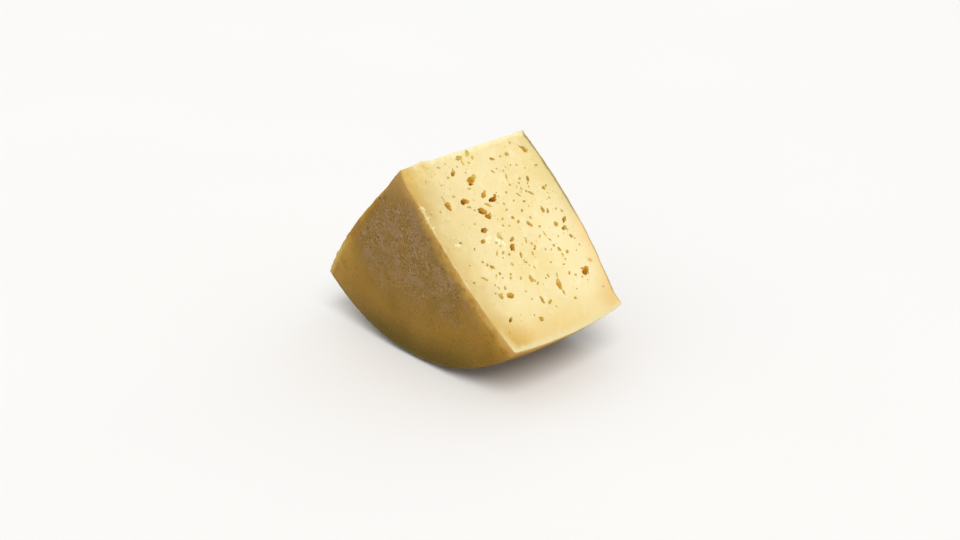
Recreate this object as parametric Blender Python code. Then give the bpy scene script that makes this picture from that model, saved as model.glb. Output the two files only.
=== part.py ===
"""A quarter of an alpine cheese wheel, standing on its curved rind with the tip up.

The wheel lay on its side when it was set down, so its axis is level and runs along Y. The quarter is
turned out of one cross-section: half of the wheel's height is swung about the axis, from one knife cut
to the other. The eyes, which are the small gas holes of the paste, are hollows in both cut faces.

Units are metres. The origin is in the middle of the flat that the cheese stands on, right under the axis.
"""

import math
import random

import bmesh
import bpy
from mathutils import Euler, Matrix, Vector

MM = 0.001

# The wheel
WHEEL_RADIUS = 150 * MM
HEIGHT_AT_AXIS = 121 * MM
HEIGHT_AT_RIM = 111 * MM
FRONT_SWELL = 6.0 * MM  # how far each flat side swells between the axis and the rim
BACK_SWELL = 6.9 * MM
SIDE_SWELL = 4.0 * MM  # how far the curved side stands out in the middle of its height
SIDE_LEAN = 2.0 * MM  # how much wider the wheel is at its back than at its front
FRONT_RIM_ROUNDING = 3.0 * MM
BACK_RIM_ROUNDING = 2.5 * MM
BACK_LIP = 2.0 * MM  # the mould left a small lip round the back rim
LIP_START = 0.93  # as a share of the radius

# The piece that was cut out of it
RIGHT_CUT = math.radians(45.0)  # each cut's angle from straight down
LEFT_CUT = math.radians(41.0)
LEFT_CUT_BOW = 2.7 * MM  # the knife ran off line, so the left cut is bowed out
BOW_LEAN = 1.3  # above 1, the bow is fullest on the rim's side of the middle
TIP_LUMP = 1.6 * MM  # where the two cuts meet, the paste tore and a low lump stayed on the edge
TIP_LUMP_PLACE = -43 * MM
TIP_LUMP_REACH = 13 * MM
AXIS_HEIGHT = 152.7 * MM  # less than the radius, as the foot has settled flat under the cheese's own weight

# How finely the surfaces are divided
ROWS_OUTWARDS = 15
ROWS_ACROSS = 10
TURN_STEPS = 20
RIM_SEGMENTS = 4

# The eyes of the right cut that show most. Each has its place on the cut, outwards from the axis and
# across from the middle of the height, its length and width, all in millimetres, and its lean from the
# line that runs outwards, in degrees.
CHIEF_EYES = (
    (14, -22, 4.6, 2.8, -50),
    (24, -10, 8.4, 5.8, 105),
    (37, -7, 5.8, 3.8, -65),
    (43, -2, 7.2, 3.6, 88),
    (37, -26, 7.2, 4.4, 85),
    (37, -41, 7.0, 4.2, -20),
    (48, -17, 7.2, 4.8, 60),
    (54, -13, 5.6, 4.0, 75),
    (62, -24, 6.2, 3.6, -68),
    (64, -48, 3.2, 2.2, 75),
    (69, -30, 4.6, 2.4, -72),
    (70, -14, 5.6, 4.4, 0),
    (75, -5, 5.0, 2.2, -65),
    (81, -9, 6.0, 3.8, -35),
    (88, -5, 4.6, 2.0, -30),
    (88, -35, 4.0, 2.6, 80),
    (94, -46, 5.2, 1.8, 45),
    (95, -31, 2.6, 2.2, 80),
    (108, -7, 5.6, 3.0, -28),
    (110, -41, 4.4, 2.6, 30),
    (113, -32, 5.8, 3.8, 92),
    (124, -9, 6.6, 2.4, 3),
    (128, -4, 4.6, 2.0, -65),
    (128, -44, 4.4, 2.6, -60),
    (136, -19, 4.2, 3.2, -60),
    (14, 18, 3.8, 2.4, 60),
    (14, 33, 3.4, 3.0, 90),
    (14, 51, 7.4, 3.8, 16),
    (36, 39, 4.6, 2.4, -35),
    (48, 34, 4.6, 2.0, 40),
    (48, 48, 3.2, 2.8, 20),
    (52, 24, 3.0, 2.0, 90),
    (61, 6, 3.0, 2.4, 80),
    (65, 9, 3.2, 2.0, -50),
    (69, 17, 5.2, 3.4, 38),
    (63, 36, 4.4, 2.6, -20),
    (66, 40, 4.0, 1.8, -42),
    (77, 40, 3.8, 3.2, -60),
    (76, 50, 6.6, 2.6, -62),
    (82, 46, 4.0, 2.4, -50),
    (90, 47, 3.4, 2.8, 90),
    (87, 10, 3.0, 2.0, -20),
    (95, 30, 3.6, 2.4, 10),
    (100, 36, 3.2, 2.4, -50),
    (119, 12, 6.8, 5.4, -25),
    (126, 12, 4.2, 1.6, -10),
    (118, 41, 8.6, 4.8, -75),
)
EYE_SINK = 0.18  # how far an eye's middle lies inside the cut face, as a share of its width
EYE_DEPTH = 0.9  # an eye's depth, as a share of its width
EYE_ROUGHNESS = 0.13

# The smaller eyes are scattered by rule, and so are all those of the left cut
SMALL_EYES = 40
SMALL_EYE_SIZES = (1.9, 3.0)
LEFT_CUT_EYES = 46
LEFT_CUT_EYE_SIZES = (2.2, 6.4)
CLEAR_OF_RIND = 11.0
CLEAR_OF_AXIS = 9.0
CLEAR_BETWEEN = 1.2
SEED = 31

PASTE_COLOUR = (0.92, 0.76, 0.42, 1.0)
PASTE_ROUGHNESS = 0.5

AXIS = Vector((0, 0, AXIS_HEIGHT))


def clear_scene():
    for old in list(bpy.data.objects):
        bpy.data.objects.remove(old, do_unlink=True)


def hump(share):
    """0 at both ends of a span and 1 in its middle."""
    return 4 * share * (1 - share)


def half_height(outwards, back):
    """Half of the wheel's height at this share of the radius, on the front or on the back."""
    tapered = HEIGHT_AT_AXIS / 2 * (1 - outwards) + HEIGHT_AT_RIM / 2 * outwards
    if not back:
        return tapered + FRONT_SWELL * hump(outwards)
    if outwards < LIP_START:
        return tapered + BACK_SWELL * hump(outwards / LIP_START)
    return tapered + BACK_LIP * (outwards - LIP_START) / (1 - LIP_START)


def side_radius(across):
    """The radius of the curved side at this share across, from -1 (front) to 1 (back)."""
    return WHEEL_RADIUS + SIDE_SWELL * (1 - across**2) + SIDE_LEAN * (1 + across) / 2


def section_point(outwards, across):
    """A point of the cross-section, from shares: 0 to 1 outwards, and -1 (front) to 1 (back) across."""
    return outwards * side_radius(across), across * half_height(outwards, across > 0)


def outward(angle):
    """The direction from the axis at this angle from straight down, towards +X."""
    return Vector((math.sin(angle), 0, -math.cos(angle)))


def make_section(bm):
    """The wheel's cross-section as a sheet in the left cut's plane."""
    bmesh.ops.create_grid(bm, x_segments=ROWS_OUTWARDS, y_segments=ROWS_ACROSS, size=1.0)
    for vert in bm.verts:
        radius, along = section_point((vert.co.x + 1) / 2, vert.co.y)
        vert.co = AXIS + outward(-LEFT_CUT) * radius + Vector((0, along, 0))


def turn_section(bm):
    """Swings the sheet about the axis to the right cut, which leaves a closed quarter."""
    bmesh.ops.spin(
        bm,
        geom=bm.faces[:] + bm.edges[:] + bm.verts[:],
        cent=AXIS,
        axis=(0, -1, 0),
        angle=LEFT_CUT + RIGHT_CUT,
        steps=TURN_STEPS,
        use_duplicate=False,
    )
    bmesh.ops.remove_doubles(bm, verts=bm.verts, dist=0.01 * MM)
    bmesh.ops.dissolve_degenerate(bm, edges=bm.edges, dist=0.01 * MM)
    bmesh.ops.recalc_face_normals(bm, faces=bm.faces)


def polar(point):
    """A point's radius, and its angle from straight down towards +X."""
    from_axis = point - AXIS
    return math.hypot(from_axis.x, from_axis.z), math.atan2(from_axis.x, -from_axis.z)


def is_on_rim(edge, back):
    """Whether an edge runs round the wheel where this flat side meets the curved one."""
    starts, ends = (polar(vert.co) for vert in edge.verts)
    runs_round = abs(starts[1] - ends[1]) > 0.5 * (LEFT_CUT + RIGHT_CUT) / TURN_STEPS
    at_side = min(starts[0], ends[0]) > WHEEL_RADIUS - FRONT_RIM_ROUNDING
    flats = [face for face in edge.link_faces if abs(face.normal.y) > 0.7]
    return runs_round and at_side and len(flats) == 1 and (flats[0].normal.y > 0) == back


def round_rims(bm):
    """Rounds the two edges where the flat sides meet the curved one."""
    for back, rounding in ((False, FRONT_RIM_ROUNDING), (True, BACK_RIM_ROUNDING)):
        bmesh.ops.bevel(
            bm,
            geom=[edge for edge in bm.edges if is_on_rim(edge, back)],
            offset=rounding,
            segments=RIM_SEGMENTS,
            profile=0.5,
            affect="EDGES",
            material=-1,
        )


def left_cut_bow(radius):
    return LEFT_CUT_BOW * hump(min(1.0, radius / WHEEL_RADIUS) ** BOW_LEAN)


def bow_left_cut(bm):
    """Pushes the left cut out, and what lies behind it by less, down to nothing at the right cut."""
    out_of_cut = Vector((-math.cos(LEFT_CUT), 0, math.sin(LEFT_CUT)))
    for vert in bm.verts:
        radius, angle = polar(vert.co)
        nearness = (RIGHT_CUT - angle) / (RIGHT_CUT + LEFT_CUT)
        vert.co += out_of_cut * left_cut_bow(radius) * nearness**3


def raise_tip_lump(bm):
    for vert in bm.verts:
        distance = math.hypot(polar(vert.co)[0], vert.co.y - TIP_LUMP_PLACE)
        vert.co.z += TIP_LUMP * max(0.0, 1 - distance / TIP_LUMP_REACH)


def flatten_foot(bm):
    """Cuts the underside level at z = 0, which is the flat that the cheese stands on."""
    cut = bmesh.ops.bisect_plane(
        bm,
        geom=bm.verts[:] + bm.edges[:] + bm.faces[:],
        dist=0.001 * MM,
        plane_co=(0, 0, 0),
        plane_no=(0, 0, -1),
        clear_outer=True,
    )
    edges = [part for part in cut["geom_cut"] if isinstance(part, bmesh.types.BMEdge)]
    bmesh.ops.edgenet_fill(bm, edges=edges)
    bmesh.ops.recalc_face_normals(bm, faces=bm.faces)


def paste_material():
    material = bpy.data.materials.new("cheese")
    material.use_nodes = True
    shader = material.node_tree.nodes["Principled BSDF"]
    shader.inputs["Base Color"].default_value = PASTE_COLOUR
    shader.inputs["Roughness"].default_value = PASTE_ROUGHNESS
    shader.inputs["Metallic"].default_value = 0.0
    return material


def make_wedge():
    bm = bmesh.new()
    make_section(bm)
    turn_section(bm)
    round_rims(bm)
    bow_left_cut(bm)
    raise_tip_lump(bm)
    flatten_foot(bm)
    mesh = bpy.data.meshes.new("cheese_wedge")
    bm.to_mesh(mesh)
    bm.free()
    wedge = bpy.data.objects.new("cheese_wedge", mesh)
    bpy.context.scene.collection.objects.link(wedge)
    mesh.materials.append(paste_material())
    mesh.shade_smooth()
    mesh.set_sharp_from_angle(angle=math.radians(35))
    return wedge


def right_cut_place(outwards, across):
    """A point of the right cut, in metres, and the turn that takes local x outwards and y across."""
    point = AXIS + outward(RIGHT_CUT) * outwards + Vector((0, across, 0))
    turn = Matrix((outward(RIGHT_CUT), (0, 1, 0), outward(RIGHT_CUT).cross((0, 1, 0)))).transposed()
    return point, turn


def left_cut_place(outwards, across):
    """The same for the left cut, following its bow."""
    out_of_cut = Vector((-math.cos(LEFT_CUT), 0, math.sin(LEFT_CUT)))
    point = AXIS + outward(-LEFT_CUT) * outwards + Vector((0, across, 0))
    point += out_of_cut * left_cut_bow(outwards)
    turn = Matrix((outward(-LEFT_CUT), (0, 1, 0), outward(-LEFT_CUT).cross((0, 1, 0)))).transposed()
    return point, turn


def add_eye(bm, place, eye, draw):
    """A lumpy closed blob that will be cut out of the paste."""
    outwards, across, length, width, lean = eye
    point, turn = place(outwards * MM, across * MM)
    into_paste = turn.col[2].copy()
    if into_paste.dot(AXIS + outward(0) * WHEEL_RADIUS / 2 - point) < 0:
        into_paste.negate()
    fine = 2 if width > 3.5 else 1
    made = bmesh.ops.create_icosphere(bm, subdivisions=fine, radius=1.0)
    size = Vector((length / 2, width / 2, width * EYE_DEPTH / 2)) * MM
    spin = Euler((0, 0, math.radians(lean)))
    for vert in made["verts"]:
        lumpy = vert.co * (1 + draw.uniform(-EYE_ROUGHNESS, EYE_ROUGHNESS))
        shaped = Vector(lumpy[axis] * size[axis] for axis in range(3))
        shaped.rotate(spin)
        vert.co = point + into_paste * width * EYE_SINK * MM + turn @ shaped


def scatter(count, sizes, taken, draw):
    """Eyes at random places of a cut, clear of the rind, the axis and each other. Small ones are commoner."""
    found = []
    while len(found) < count:
        outwards = draw.uniform(CLEAR_OF_AXIS, WHEEL_RADIUS / MM - CLEAR_OF_RIND)
        reach = half_height(outwards * MM / WHEEL_RADIUS, False) / MM - CLEAR_OF_RIND
        across = draw.uniform(-reach, reach)
        length = sizes[0] + (sizes[1] - sizes[0]) * draw.random() ** 2
        width = length * draw.uniform(0.55, 0.95)
        near = (
            math.hypot(outwards - other[0], across - other[1]) < (length + other[2]) / 2 + CLEAR_BETWEEN
            for other in taken + found
        )
        if not any(near):
            found.append((outwards, across, length, width, draw.gauss(0, 40)))
    return found


def carve_eyes(wedge):
    draw = random.Random(SEED)
    bm = bmesh.new()
    chief = list(CHIEF_EYES)
    for eye in chief + scatter(SMALL_EYES, SMALL_EYE_SIZES, chief, draw):
        add_eye(bm, right_cut_place, eye, draw)
    for eye in scatter(LEFT_CUT_EYES, LEFT_CUT_EYE_SIZES, [], draw):
        add_eye(bm, left_cut_place, eye, draw)
    bmesh.ops.recalc_face_normals(bm, faces=bm.faces)
    mesh = bpy.data.meshes.new("eye_cutter")
    bm.to_mesh(mesh)
    bm.free()
    cutter = bpy.data.objects.new("eye_cutter", mesh)
    bpy.context.scene.collection.objects.link(cutter)
    cutter.hide_render = True
    cutter.display_type = "WIRE"
    carve = wedge.modifiers.new("eyes", "BOOLEAN")
    carve.operation = "DIFFERENCE"
    carve.object = cutter
    carve.solver = "EXACT"


clear_scene()
carve_eyes(make_wedge())
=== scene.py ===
# %% [markdown]
# # A quarter of an alpine cheese
#
# The object is a quarter of a small mountain cheese. It stands on its curved rind with the tip up, so that
# a brown flat side and a pale cut face can be seen at once. A plain model of it has been packed already,
# and it fixes the place and the size of everything. This lesson models the cheese again with far more
# detail, gives its paste and its rind a finish each, and sets up a small studio round it.
#
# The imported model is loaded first. Its box is kept, because nothing made later may reach far outside it.

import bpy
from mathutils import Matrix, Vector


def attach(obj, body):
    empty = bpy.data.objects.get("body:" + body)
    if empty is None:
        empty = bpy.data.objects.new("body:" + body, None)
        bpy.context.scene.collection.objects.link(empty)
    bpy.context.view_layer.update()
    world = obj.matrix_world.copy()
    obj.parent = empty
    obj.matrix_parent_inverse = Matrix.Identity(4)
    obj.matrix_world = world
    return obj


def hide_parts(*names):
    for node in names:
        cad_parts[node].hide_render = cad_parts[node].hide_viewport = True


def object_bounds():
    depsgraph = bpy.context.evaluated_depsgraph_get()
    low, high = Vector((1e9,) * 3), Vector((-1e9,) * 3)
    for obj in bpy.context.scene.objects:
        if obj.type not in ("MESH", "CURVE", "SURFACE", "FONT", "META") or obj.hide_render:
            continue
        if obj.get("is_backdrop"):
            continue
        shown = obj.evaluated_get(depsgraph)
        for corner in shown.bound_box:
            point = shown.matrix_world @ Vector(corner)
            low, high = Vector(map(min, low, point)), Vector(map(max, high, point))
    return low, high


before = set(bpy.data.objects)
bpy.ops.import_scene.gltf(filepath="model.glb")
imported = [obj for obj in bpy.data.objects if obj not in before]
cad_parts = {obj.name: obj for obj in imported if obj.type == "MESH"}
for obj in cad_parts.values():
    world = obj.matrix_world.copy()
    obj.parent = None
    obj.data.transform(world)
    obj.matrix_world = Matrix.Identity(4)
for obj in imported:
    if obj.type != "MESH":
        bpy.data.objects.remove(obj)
cad_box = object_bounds()
print("nodes of the packed model:", sorted(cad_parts))

# %% [markdown]
# ## The wheel's cross-section
#
# The wheel is pressed in a hoop and then ripens for months, so it is nearly a cylinder, but both flat
# sides swell between the axis and the rim, and the curved side stands out in the middle. All of that is
# in one cross-section, half of the wheel's height on each side of the middle plane. A point of it is
# named by two shares: how far outwards from the axis, and how far across, from the front (-1) to the back
# (1). The same few functions also tell later how deep any point lies under each surface.

# %% Sizes of the wheel
import math

from mathutils import Vector

MM = 0.001
WHEEL_RADIUS = 150 * MM
HEIGHT_AT_AXIS = 121 * MM
HEIGHT_AT_RIM = 111 * MM
FRONT_SWELL = 6.0 * MM
BACK_SWELL = 6.9 * MM
SIDE_SWELL = 4.0 * MM
SIDE_LEAN = 2.0 * MM  # how much wider the wheel is at its back than at its front
FRONT_RIM_AT_LEFT = 1.5 * MM  # how far the front rim is rounded, at the left cut and at the right one
FRONT_RIM_AT_RIGHT = 2.6 * MM
BACK_RIM_ROUNDING = 2.5 * MM
BACK_LIP = 2.0 * MM  # the hoop left a small lip round the back rim
LIP_START = 0.93  # as a share of the radius
AXIS_HEIGHT = 152.7 * MM  # less than the radius, as the foot has settled flat
AXIS = Vector((0, 0, AXIS_HEIGHT))


def hump(share):
    """0 at both ends of a span and 1 in its middle."""
    return 4 * share * (1 - share)


def half_height(outwards, back):
    """Half of the wheel's height at this share of the radius, on the front or on the back."""
    tapered = HEIGHT_AT_AXIS / 2 * (1 - outwards) + HEIGHT_AT_RIM / 2 * outwards
    if not back:
        return tapered + FRONT_SWELL * hump(outwards)
    if outwards < LIP_START:
        return tapered + BACK_SWELL * hump(outwards / LIP_START)
    return tapered + BACK_LIP * (outwards - LIP_START) / (1 - LIP_START)


def side_radius(across):
    return WHEEL_RADIUS + SIDE_SWELL * (1 - across**2) + SIDE_LEAN * (1 + across) / 2


print("radius at the front, in the middle and at the back:", [side_radius(a) / MM for a in (-1, 0, 1)], "mm")

# %% [markdown]
# ## The rims
#
# Where a flat side meets the curved one, the rim is rounded. A bevel could do that, but its rounding
# depends on how the faces lie. Here the roundness is worked into the cross-section instead: the small
# square in the corner, as wide and as high as the rounding, is bent into a quarter of a disc. The front
# rim is keen where the left cut meets it and a little rounder at the right one.

# %% Rounding the corners of the cross-section


def bend_square(first, second):
    """Bends a square with sides from 0 to 1 into a quarter disc of radius 1."""
    return first * math.sqrt(1 - second**2 / 2), second * math.sqrt(1 - first**2 / 2)


def section_point(outwards, across, turned):
    """A point of the rounded cross-section: its radius, and its place along the axis."""
    outer, half = side_radius(across), half_height(outwards, across > 0)
    front_rounding = FRONT_RIM_AT_LEFT + (FRONT_RIM_AT_RIGHT - FRONT_RIM_AT_LEFT) * turned
    rounding = BACK_RIM_ROUNDING if across > 0 else front_rounding
    under_side = outer * (1 - outwards)
    under_flat = half * (1 - abs(across))
    if under_side < rounding and under_flat < rounding:
        bent = bend_square(1 - under_side / rounding, 1 - under_flat / rounding)
        under_side, under_flat = (rounding * (1 - share) for share in bent)
    return outer - under_side, math.copysign(half - under_flat, across)


print("front rim at the right cut:", [round(value / MM, 1) for value in section_point(1, -1, 1)], "mm")

# %% [markdown]
# ## From a block to a quarter wheel
#
# The quarter could be spun out of its cross-section, but then all the faces run to needles at the tip,
# which is the best lit edge of the cheese. A block keeps its faces square: one of its edges becomes the
# tip, the two faces beside that edge become the cuts, and the other two bend round into the curved side.
# The block is divided into a fine grid, closer at its edges, where there is most to see. Each face
# carries the name of its surface as a material number, so that the surfaces can be told apart later.

# %% A finely divided block
import bmesh
import bpy
from mathutils import Matrix

RIGHT_FACE, LEFT_FACE, SIDE_FACE, FRONT_FACE, BACK_FACE = range(5)
CUTTING_LOOPS = (88, 88, 76)  # how often the block is divided along x, y and z


def surface_of(normal):
    if abs(normal.z) > 0.5:
        return BACK_FACE if normal.z > 0 else FRONT_FACE
    if normal.x < -0.5:
        return RIGHT_FACE
    return LEFT_FACE if normal.y < -0.5 else SIDE_FACE


def edges_along(bm, axis):
    return [edge for edge in bm.edges if abs((edge.verts[0].co - edge.verts[1].co).normalized()[axis]) > 0.9]


def divided_block():
    """A block from 0 to 1 in x and y, and from -1 to 1 in z."""
    bm = bmesh.new()
    place = Matrix.Translation((0.5, 0.5, 0)) @ Matrix.Diagonal((1, 1, 2, 1))
    bmesh.ops.create_cube(bm, size=1.0, matrix=place)
    for face in bm.faces:
        face.normal_update()
        face.material_index = surface_of(face.normal)
    for axis, cuts in enumerate(CUTTING_LOOPS):
        bmesh.ops.subdivide_edges(bm, edges=edges_along(bm, axis), cuts=cuts, use_grid_fill=True)
    return bm


wedge = divided_block()
print("the block has", len(wedge.faces), "faces")

# %% [markdown]
# The block is bent in two steps. Its base square becomes a quarter disc, which gives each point a share
# of the radius and an angle, and its height becomes the way across. The knife that made the left cut
# ran off line, so that cut is bowed out, and the bow dies away towards the right cut.

# %% Bending the block round the axis
RIGHT_CUT = math.radians(45.0)  # each cut's angle from straight down
LEFT_CUT = math.radians(41.0)
LEFT_CUT_BOW = 2.7 * MM
BOW_LEAN = 1.3  # above 1, the bow is fullest on the rim's side of the middle
CROWDING = 0.55  # how much closer the grid is at the edges than in the middle
OUT_OF_RIGHT_CUT = Vector((math.cos(RIGHT_CUT), 0, math.sin(RIGHT_CUT)))
OUT_OF_LEFT_CUT = Vector((-math.cos(LEFT_CUT), 0, math.sin(LEFT_CUT)))


def crowd(share):
    return share - CROWDING * math.sin(2 * math.pi * share) / (2 * math.pi)


def outward(angle):
    """The direction from the axis at this angle from straight down, towards +X."""
    return Vector((math.sin(angle), 0, -math.cos(angle)))


def left_cut_bow(radius):
    return LEFT_CUT_BOW * hump(min(1.0, radius / WHEEL_RADIUS) ** BOW_LEAN)


def quarter_point(place):
    """Where a point of the block goes in the quarter wheel."""
    left, right = bend_square(crowd(place.x), crowd(place.y))
    turned = math.atan2(right, left) / (math.pi / 2) if left or right else 0.5
    radius, along = section_point(math.hypot(left, right), 2 * crowd(place.z / 2 + 0.5) - 1, turned)
    point = AXIS + outward(turned * (LEFT_CUT + RIGHT_CUT) - LEFT_CUT) * radius + Vector((0, along, 0))
    return point + OUT_OF_LEFT_CUT * left_cut_bow(radius) * (1 - turned) ** 3


for vert in wedge.verts:
    vert.co = quarter_point(vert.co)
bmesh.ops.recalc_face_normals(wedge, faces=wedge.faces)
print("volume:", round(wedge.calc_volume() / MM**3 / 1e6, 3), "litres")

# %% [markdown]
# ## The knife's edges
#
# No edge that a knife leaves in soft paste is perfectly keen: the outermost millimetre bends over or
# breaks away. All the edges of the two cuts get a narrow bevel of two faces, so that each of the two
# surfaces keeps one of them.

# %% Breaking the edges of the cuts
EDGE_BREAK = 0.85 * MM


def knife_edges(bm):
    found = []
    for edge in bm.edges:
        surfaces = {face.material_index for face in edge.link_faces}
        if len(surfaces) == 2 and surfaces & {RIGHT_FACE, LEFT_FACE}:
            found.append(edge)
    return found


edges = knife_edges(wedge)
bmesh.ops.bevel(
    wedge,
    geom=edges,
    offset=EDGE_BREAK,
    offset_type="OFFSET",
    segments=2,
    profile=0.5,
    affect="EDGES",
    clamp_overlap=True,
    material=-1,
)
print(len(edges), "short edges broken, now", len(wedge.faces), "faces")

# %% [markdown]
# ## Unevenness
#
# The rind is slightly wavy and lumpy from the hoop, the cloth and the shelf, and it is the lumps that
# catch the light. The cuts are almost flat. The edge of the rind crumbles a little where the knife went
# through it, and the tip, which is the thinnest part, is torn and knobbly. Every point is moved along its
# normal by noise that is read at the point itself, so the relief has the same size everywhere.
#
# One function says how deep a point lies under each of the surfaces. The relief uses it, and so do the
# eyes and the finishes.

# %% How deep a point lies under each surface


def depths_under(point):
    """Depths in metres under the side, the nearer flat, the right cut and the left cut, and the radius."""
    from_axis = point - AXIS
    radius = math.hypot(from_axis.x, from_axis.z)
    angle = math.atan2(from_axis.x, -from_axis.z)
    half = half_height(min(1.0, radius / WHEEL_RADIUS), point.y > 0)
    under_side = side_radius(max(-1.0, min(1.0, point.y / half))) - radius
    under_right = radius * math.sin(RIGHT_CUT - angle)
    under_left = radius * math.sin(angle + LEFT_CUT) + left_cut_bow(radius)
    return under_side, half - abs(point.y), under_right, under_left, radius


print("the middle of the wheel lies", round(depths_under(AXIS)[1] / MM, 1), "mm under its flats")

# %% [markdown]
# The noise comes in layers: broad low waves with smaller and smaller bumps on them. Each surface has its
# own layers, and so have the broken edges and the tip.

# %% Layers of noise
from mathutils import noise

# Layers of relief: the height in mm, the size of a bump in mm, and a salt that sets its noise apart.
RIND_LAYERS = ((0.38, 36, 0), (0.20, 9, 1), (0.11, 3.6, 2))
CUT_LAYERS = ((0.16, 22, 3), (0.05, 5, 4))
EDGE_LAYERS = ((0.36, 3.1, 5), (0.34, 11, 6))
TIP_LAYERS = ((0.55, 5.5, 7), (0.45, 16, 8))
FLAKE_LAYERS = ((1.3, 3.4, 9),)
JAG_LAYERS = ((1.5, 7.5, 10), (0.35, 3.4, 11))


def bumps(point, size, salt=0.0):
    """Noise from about -1 to 1, whose bumps are about this far apart."""
    return noise.noise(point / size + Vector((salt, 3.7 * salt, -salt)))


def near(distance, reach):
    """1 at a distance of nothing, fading smoothly to 0 at the reach."""
    share = min(1.0, max(0.0, 1 - abs(distance) / reach))
    return share * share * (3 - 2 * share)


def layered(point, layers):
    """The height of some layers at a point, in mm."""
    return sum(height * bumps(point, size * MM, salt) for height, size, salt in layers)


print("the rind's layers add up to", round(sum(layer[0] for layer in RIND_LAYERS), 2), "mm at the most")

# %% [markdown]
# The front edge has two places of its own. Near the tip the knife tore flakes up from its right part, and
# its left part is jagged almost all the way down.

# %% Relief
EDGE_LOSS = 0.12  # how much lower or higher each place lies on the whole, in mm
TIP_GAIN = 0.45
FLAKE_GAIN = 0.35
EDGE_REACH = 2.6 * MM  # how far from an edge its relief reaches
TIP_REACH = 5 * MM
FLAKE_WIDTH = 3.5 * MM
JAG_WIDTH = 4.5 * MM
FLAKES_PLACE = 37 * MM  # where the flakes are thickest, from the axis, and how far they reach from there
FLAKES_REACH = 17 * MM
JAGS_PLACE = 118 * MM
JAGS_REACH = 62 * MM


def front_edge_relief(point, under_flat, under_right, under_left, radius):
    """What the flakes and the jags add, in mm."""
    flaky = near(under_right, FLAKE_WIDTH) * near(under_flat, FLAKE_WIDTH)
    flaky *= near(radius - FLAKES_PLACE, FLAKES_REACH)
    jagged = near(under_left, JAG_WIDTH) * near(under_flat, JAG_WIDTH)
    jagged *= near(radius - JAGS_PLACE, JAGS_REACH)
    flakes = layered(point, FLAKE_LAYERS) + FLAKE_GAIN
    return flaky * flakes + jagged * layered(point, JAG_LAYERS)


def relief(vert):
    """How far a point of the surface moves outwards, in metres."""
    point = vert.co
    under_side, under_flat, under_right, under_left, radius = depths_under(point)
    on_rind = sum(face.material_index > LEFT_FACE for face in vert.link_faces) / len(vert.link_faces)
    height = layered(point, RIND_LAYERS) * on_rind + layered(point, CUT_LAYERS) * (1 - on_rind)
    at_edge = near(min(under_right, under_left), EDGE_REACH) * near(min(under_side, under_flat), EDGE_REACH)
    height += at_edge * (layered(point, EDGE_LAYERS) - EDGE_LOSS)
    if point.y < 0:
        height += front_edge_relief(point, under_flat, under_right, under_left, radius)
    height += near(radius, TIP_REACH) * (layered(point, TIP_LAYERS) + TIP_GAIN)
    return height * MM


wedge.normal_update()
moves = [(vert, vert.normal.copy(), relief(vert)) for vert in wedge.verts]
heights = [height / MM for vert, normal, height in moves]
print("relief from", round(min(heights), 2), "to", round(max(heights), 2), "mm")

# %% [markdown]
# The front corner of the tip was pressed outwards by the knife, and a low lump was left beside it. This
# shove has a function of its own, because the finishes have to take it back later.

# %% Shoving the front corner
TIP_LUMP = 1.5 * MM
TIP_LUMP_PLACE = -43 * MM
TIP_LUMP_REACH = 12 * MM
CORNER_PUSH = 2.8 * MM  # how far the front stands out near the tip
CORNER_PLACE = 9 * MM  # from the axis
CORNER_REACH = 27 * MM
CORNER_DEPTH = 24 * MM


def shove(point):
    """How the knife shoved a point of the front corner and of the lump beside it."""
    under_side, under_flat, under_right, under_left, radius = depths_under(point)
    lump = near(math.hypot(radius, point.y - TIP_LUMP_PLACE), TIP_LUMP_REACH)
    corner = near(radius - CORNER_PLACE, CORNER_REACH) * near(max(0, under_right), CORNER_DEPTH)
    corner *= near(max(0, under_flat), CORNER_DEPTH) if point.y < 0 else 0
    return Vector((0, -CORNER_PUSH * corner, TIP_LUMP * lump))


for vert, normal, height in moves:
    vert.co += normal * height + shove(vert.co)
print("the front corner stands", CORNER_PUSH / MM, "mm further out")

# %% [markdown]
# ## The foot
#
# Under its own weight the cheese has settled flat where it stands. Every point below the floor is lifted
# onto it, which keeps the grid whole and leaves a level foot.

# %% Settling the foot
sunken = [vert for vert in wedge.verts if vert.co.z < 0]
for vert in sunken:
    vert.co.z = 0
bmesh.ops.recalc_face_normals(wedge, faces=wedge.faces)
print(len(sunken), "points of the foot rest on the floor")

# %% [markdown]
# The shape is now kept as a search tree, because the next steps have to find the surface as it was before
# any eye was cut: to set the eyes on it, and later to tell how deep a wall of an eye lies.

# %% The cheese before its eyes are cut
from mathutils.bvhtree import BVHTree


def add_object(name, data):
    """A new object in the scene, at the origin."""
    made = bpy.data.objects.new(name, data)
    bpy.context.scene.collection.objects.link(made)
    return made


def mesh_object(name, bm):
    """Turns a bmesh into an object of the scene."""
    mesh = bpy.data.meshes.new(name)
    bm.to_mesh(mesh)
    bm.free()
    return add_object(name, mesh)


uncut = BVHTree.FromBMesh(wedge)
uncut_surfaces = [face.material_index for face in wedge.faces]
cheese = mesh_object("cheese", wedge)
cheese_mesh = cheese.data
print("the cheese has", len(cheese_mesh.vertices), "points before its eyes are cut")
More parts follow.
